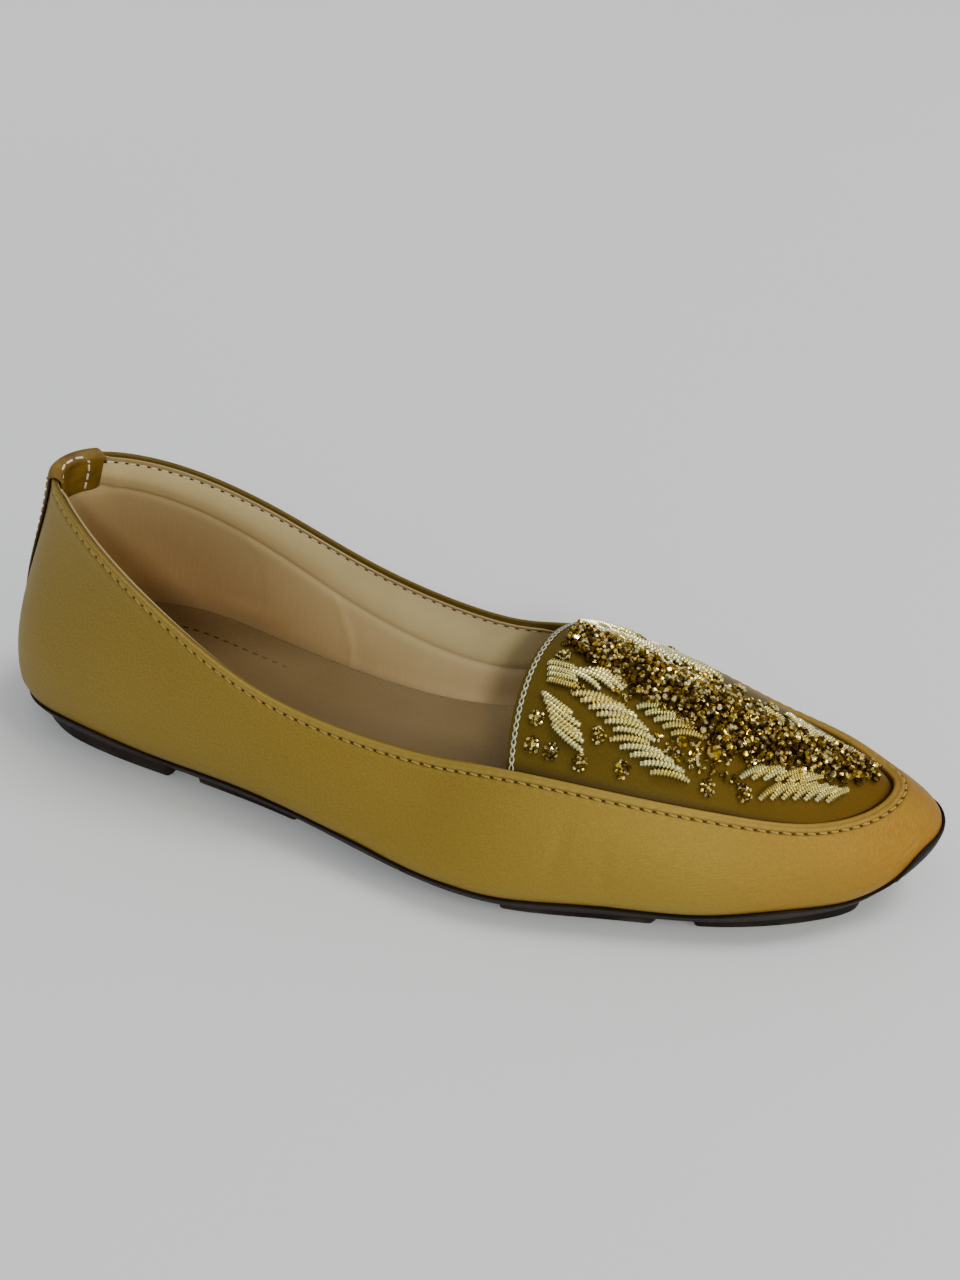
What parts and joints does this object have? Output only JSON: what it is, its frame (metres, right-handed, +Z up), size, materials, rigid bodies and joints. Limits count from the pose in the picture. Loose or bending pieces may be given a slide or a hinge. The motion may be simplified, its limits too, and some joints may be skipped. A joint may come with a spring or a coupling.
{
  "type": "loafer",
  "caption": "Flat woman's loafer for the right foot, moccasin style, with a beaded apron, a strap down the back seam and a padded driving sole.",
  "frame": {"origin": "on the floor, at the middle of the heel pad's flat face", "axes": "+X to the toe, +Y to the inner (big toe) side, +Z up"},
  "size_m": [0.2589, 0.0894, 0.0726],
  "materials": {
    "satin_leather": "satin mustard gold synthetic leather",
    "apron_satin": "satin cloth, dark mustard, embroidered with gold cord and amber crystals",
    "strap_leather": "glossy brown mustard synthetic leather",
    "sock_lining": "matt beige synthetic leather",
    "sole_rubber": "satin dark brown rubber"
  },
  "bodies": {
    "root": {"upper": "satin_leather", "apron": "apron_satin", "heel_strap": "strap_leather", "insole": "sock_lining", "outsole": "sole_rubber"}
  },
  "joints": []
}
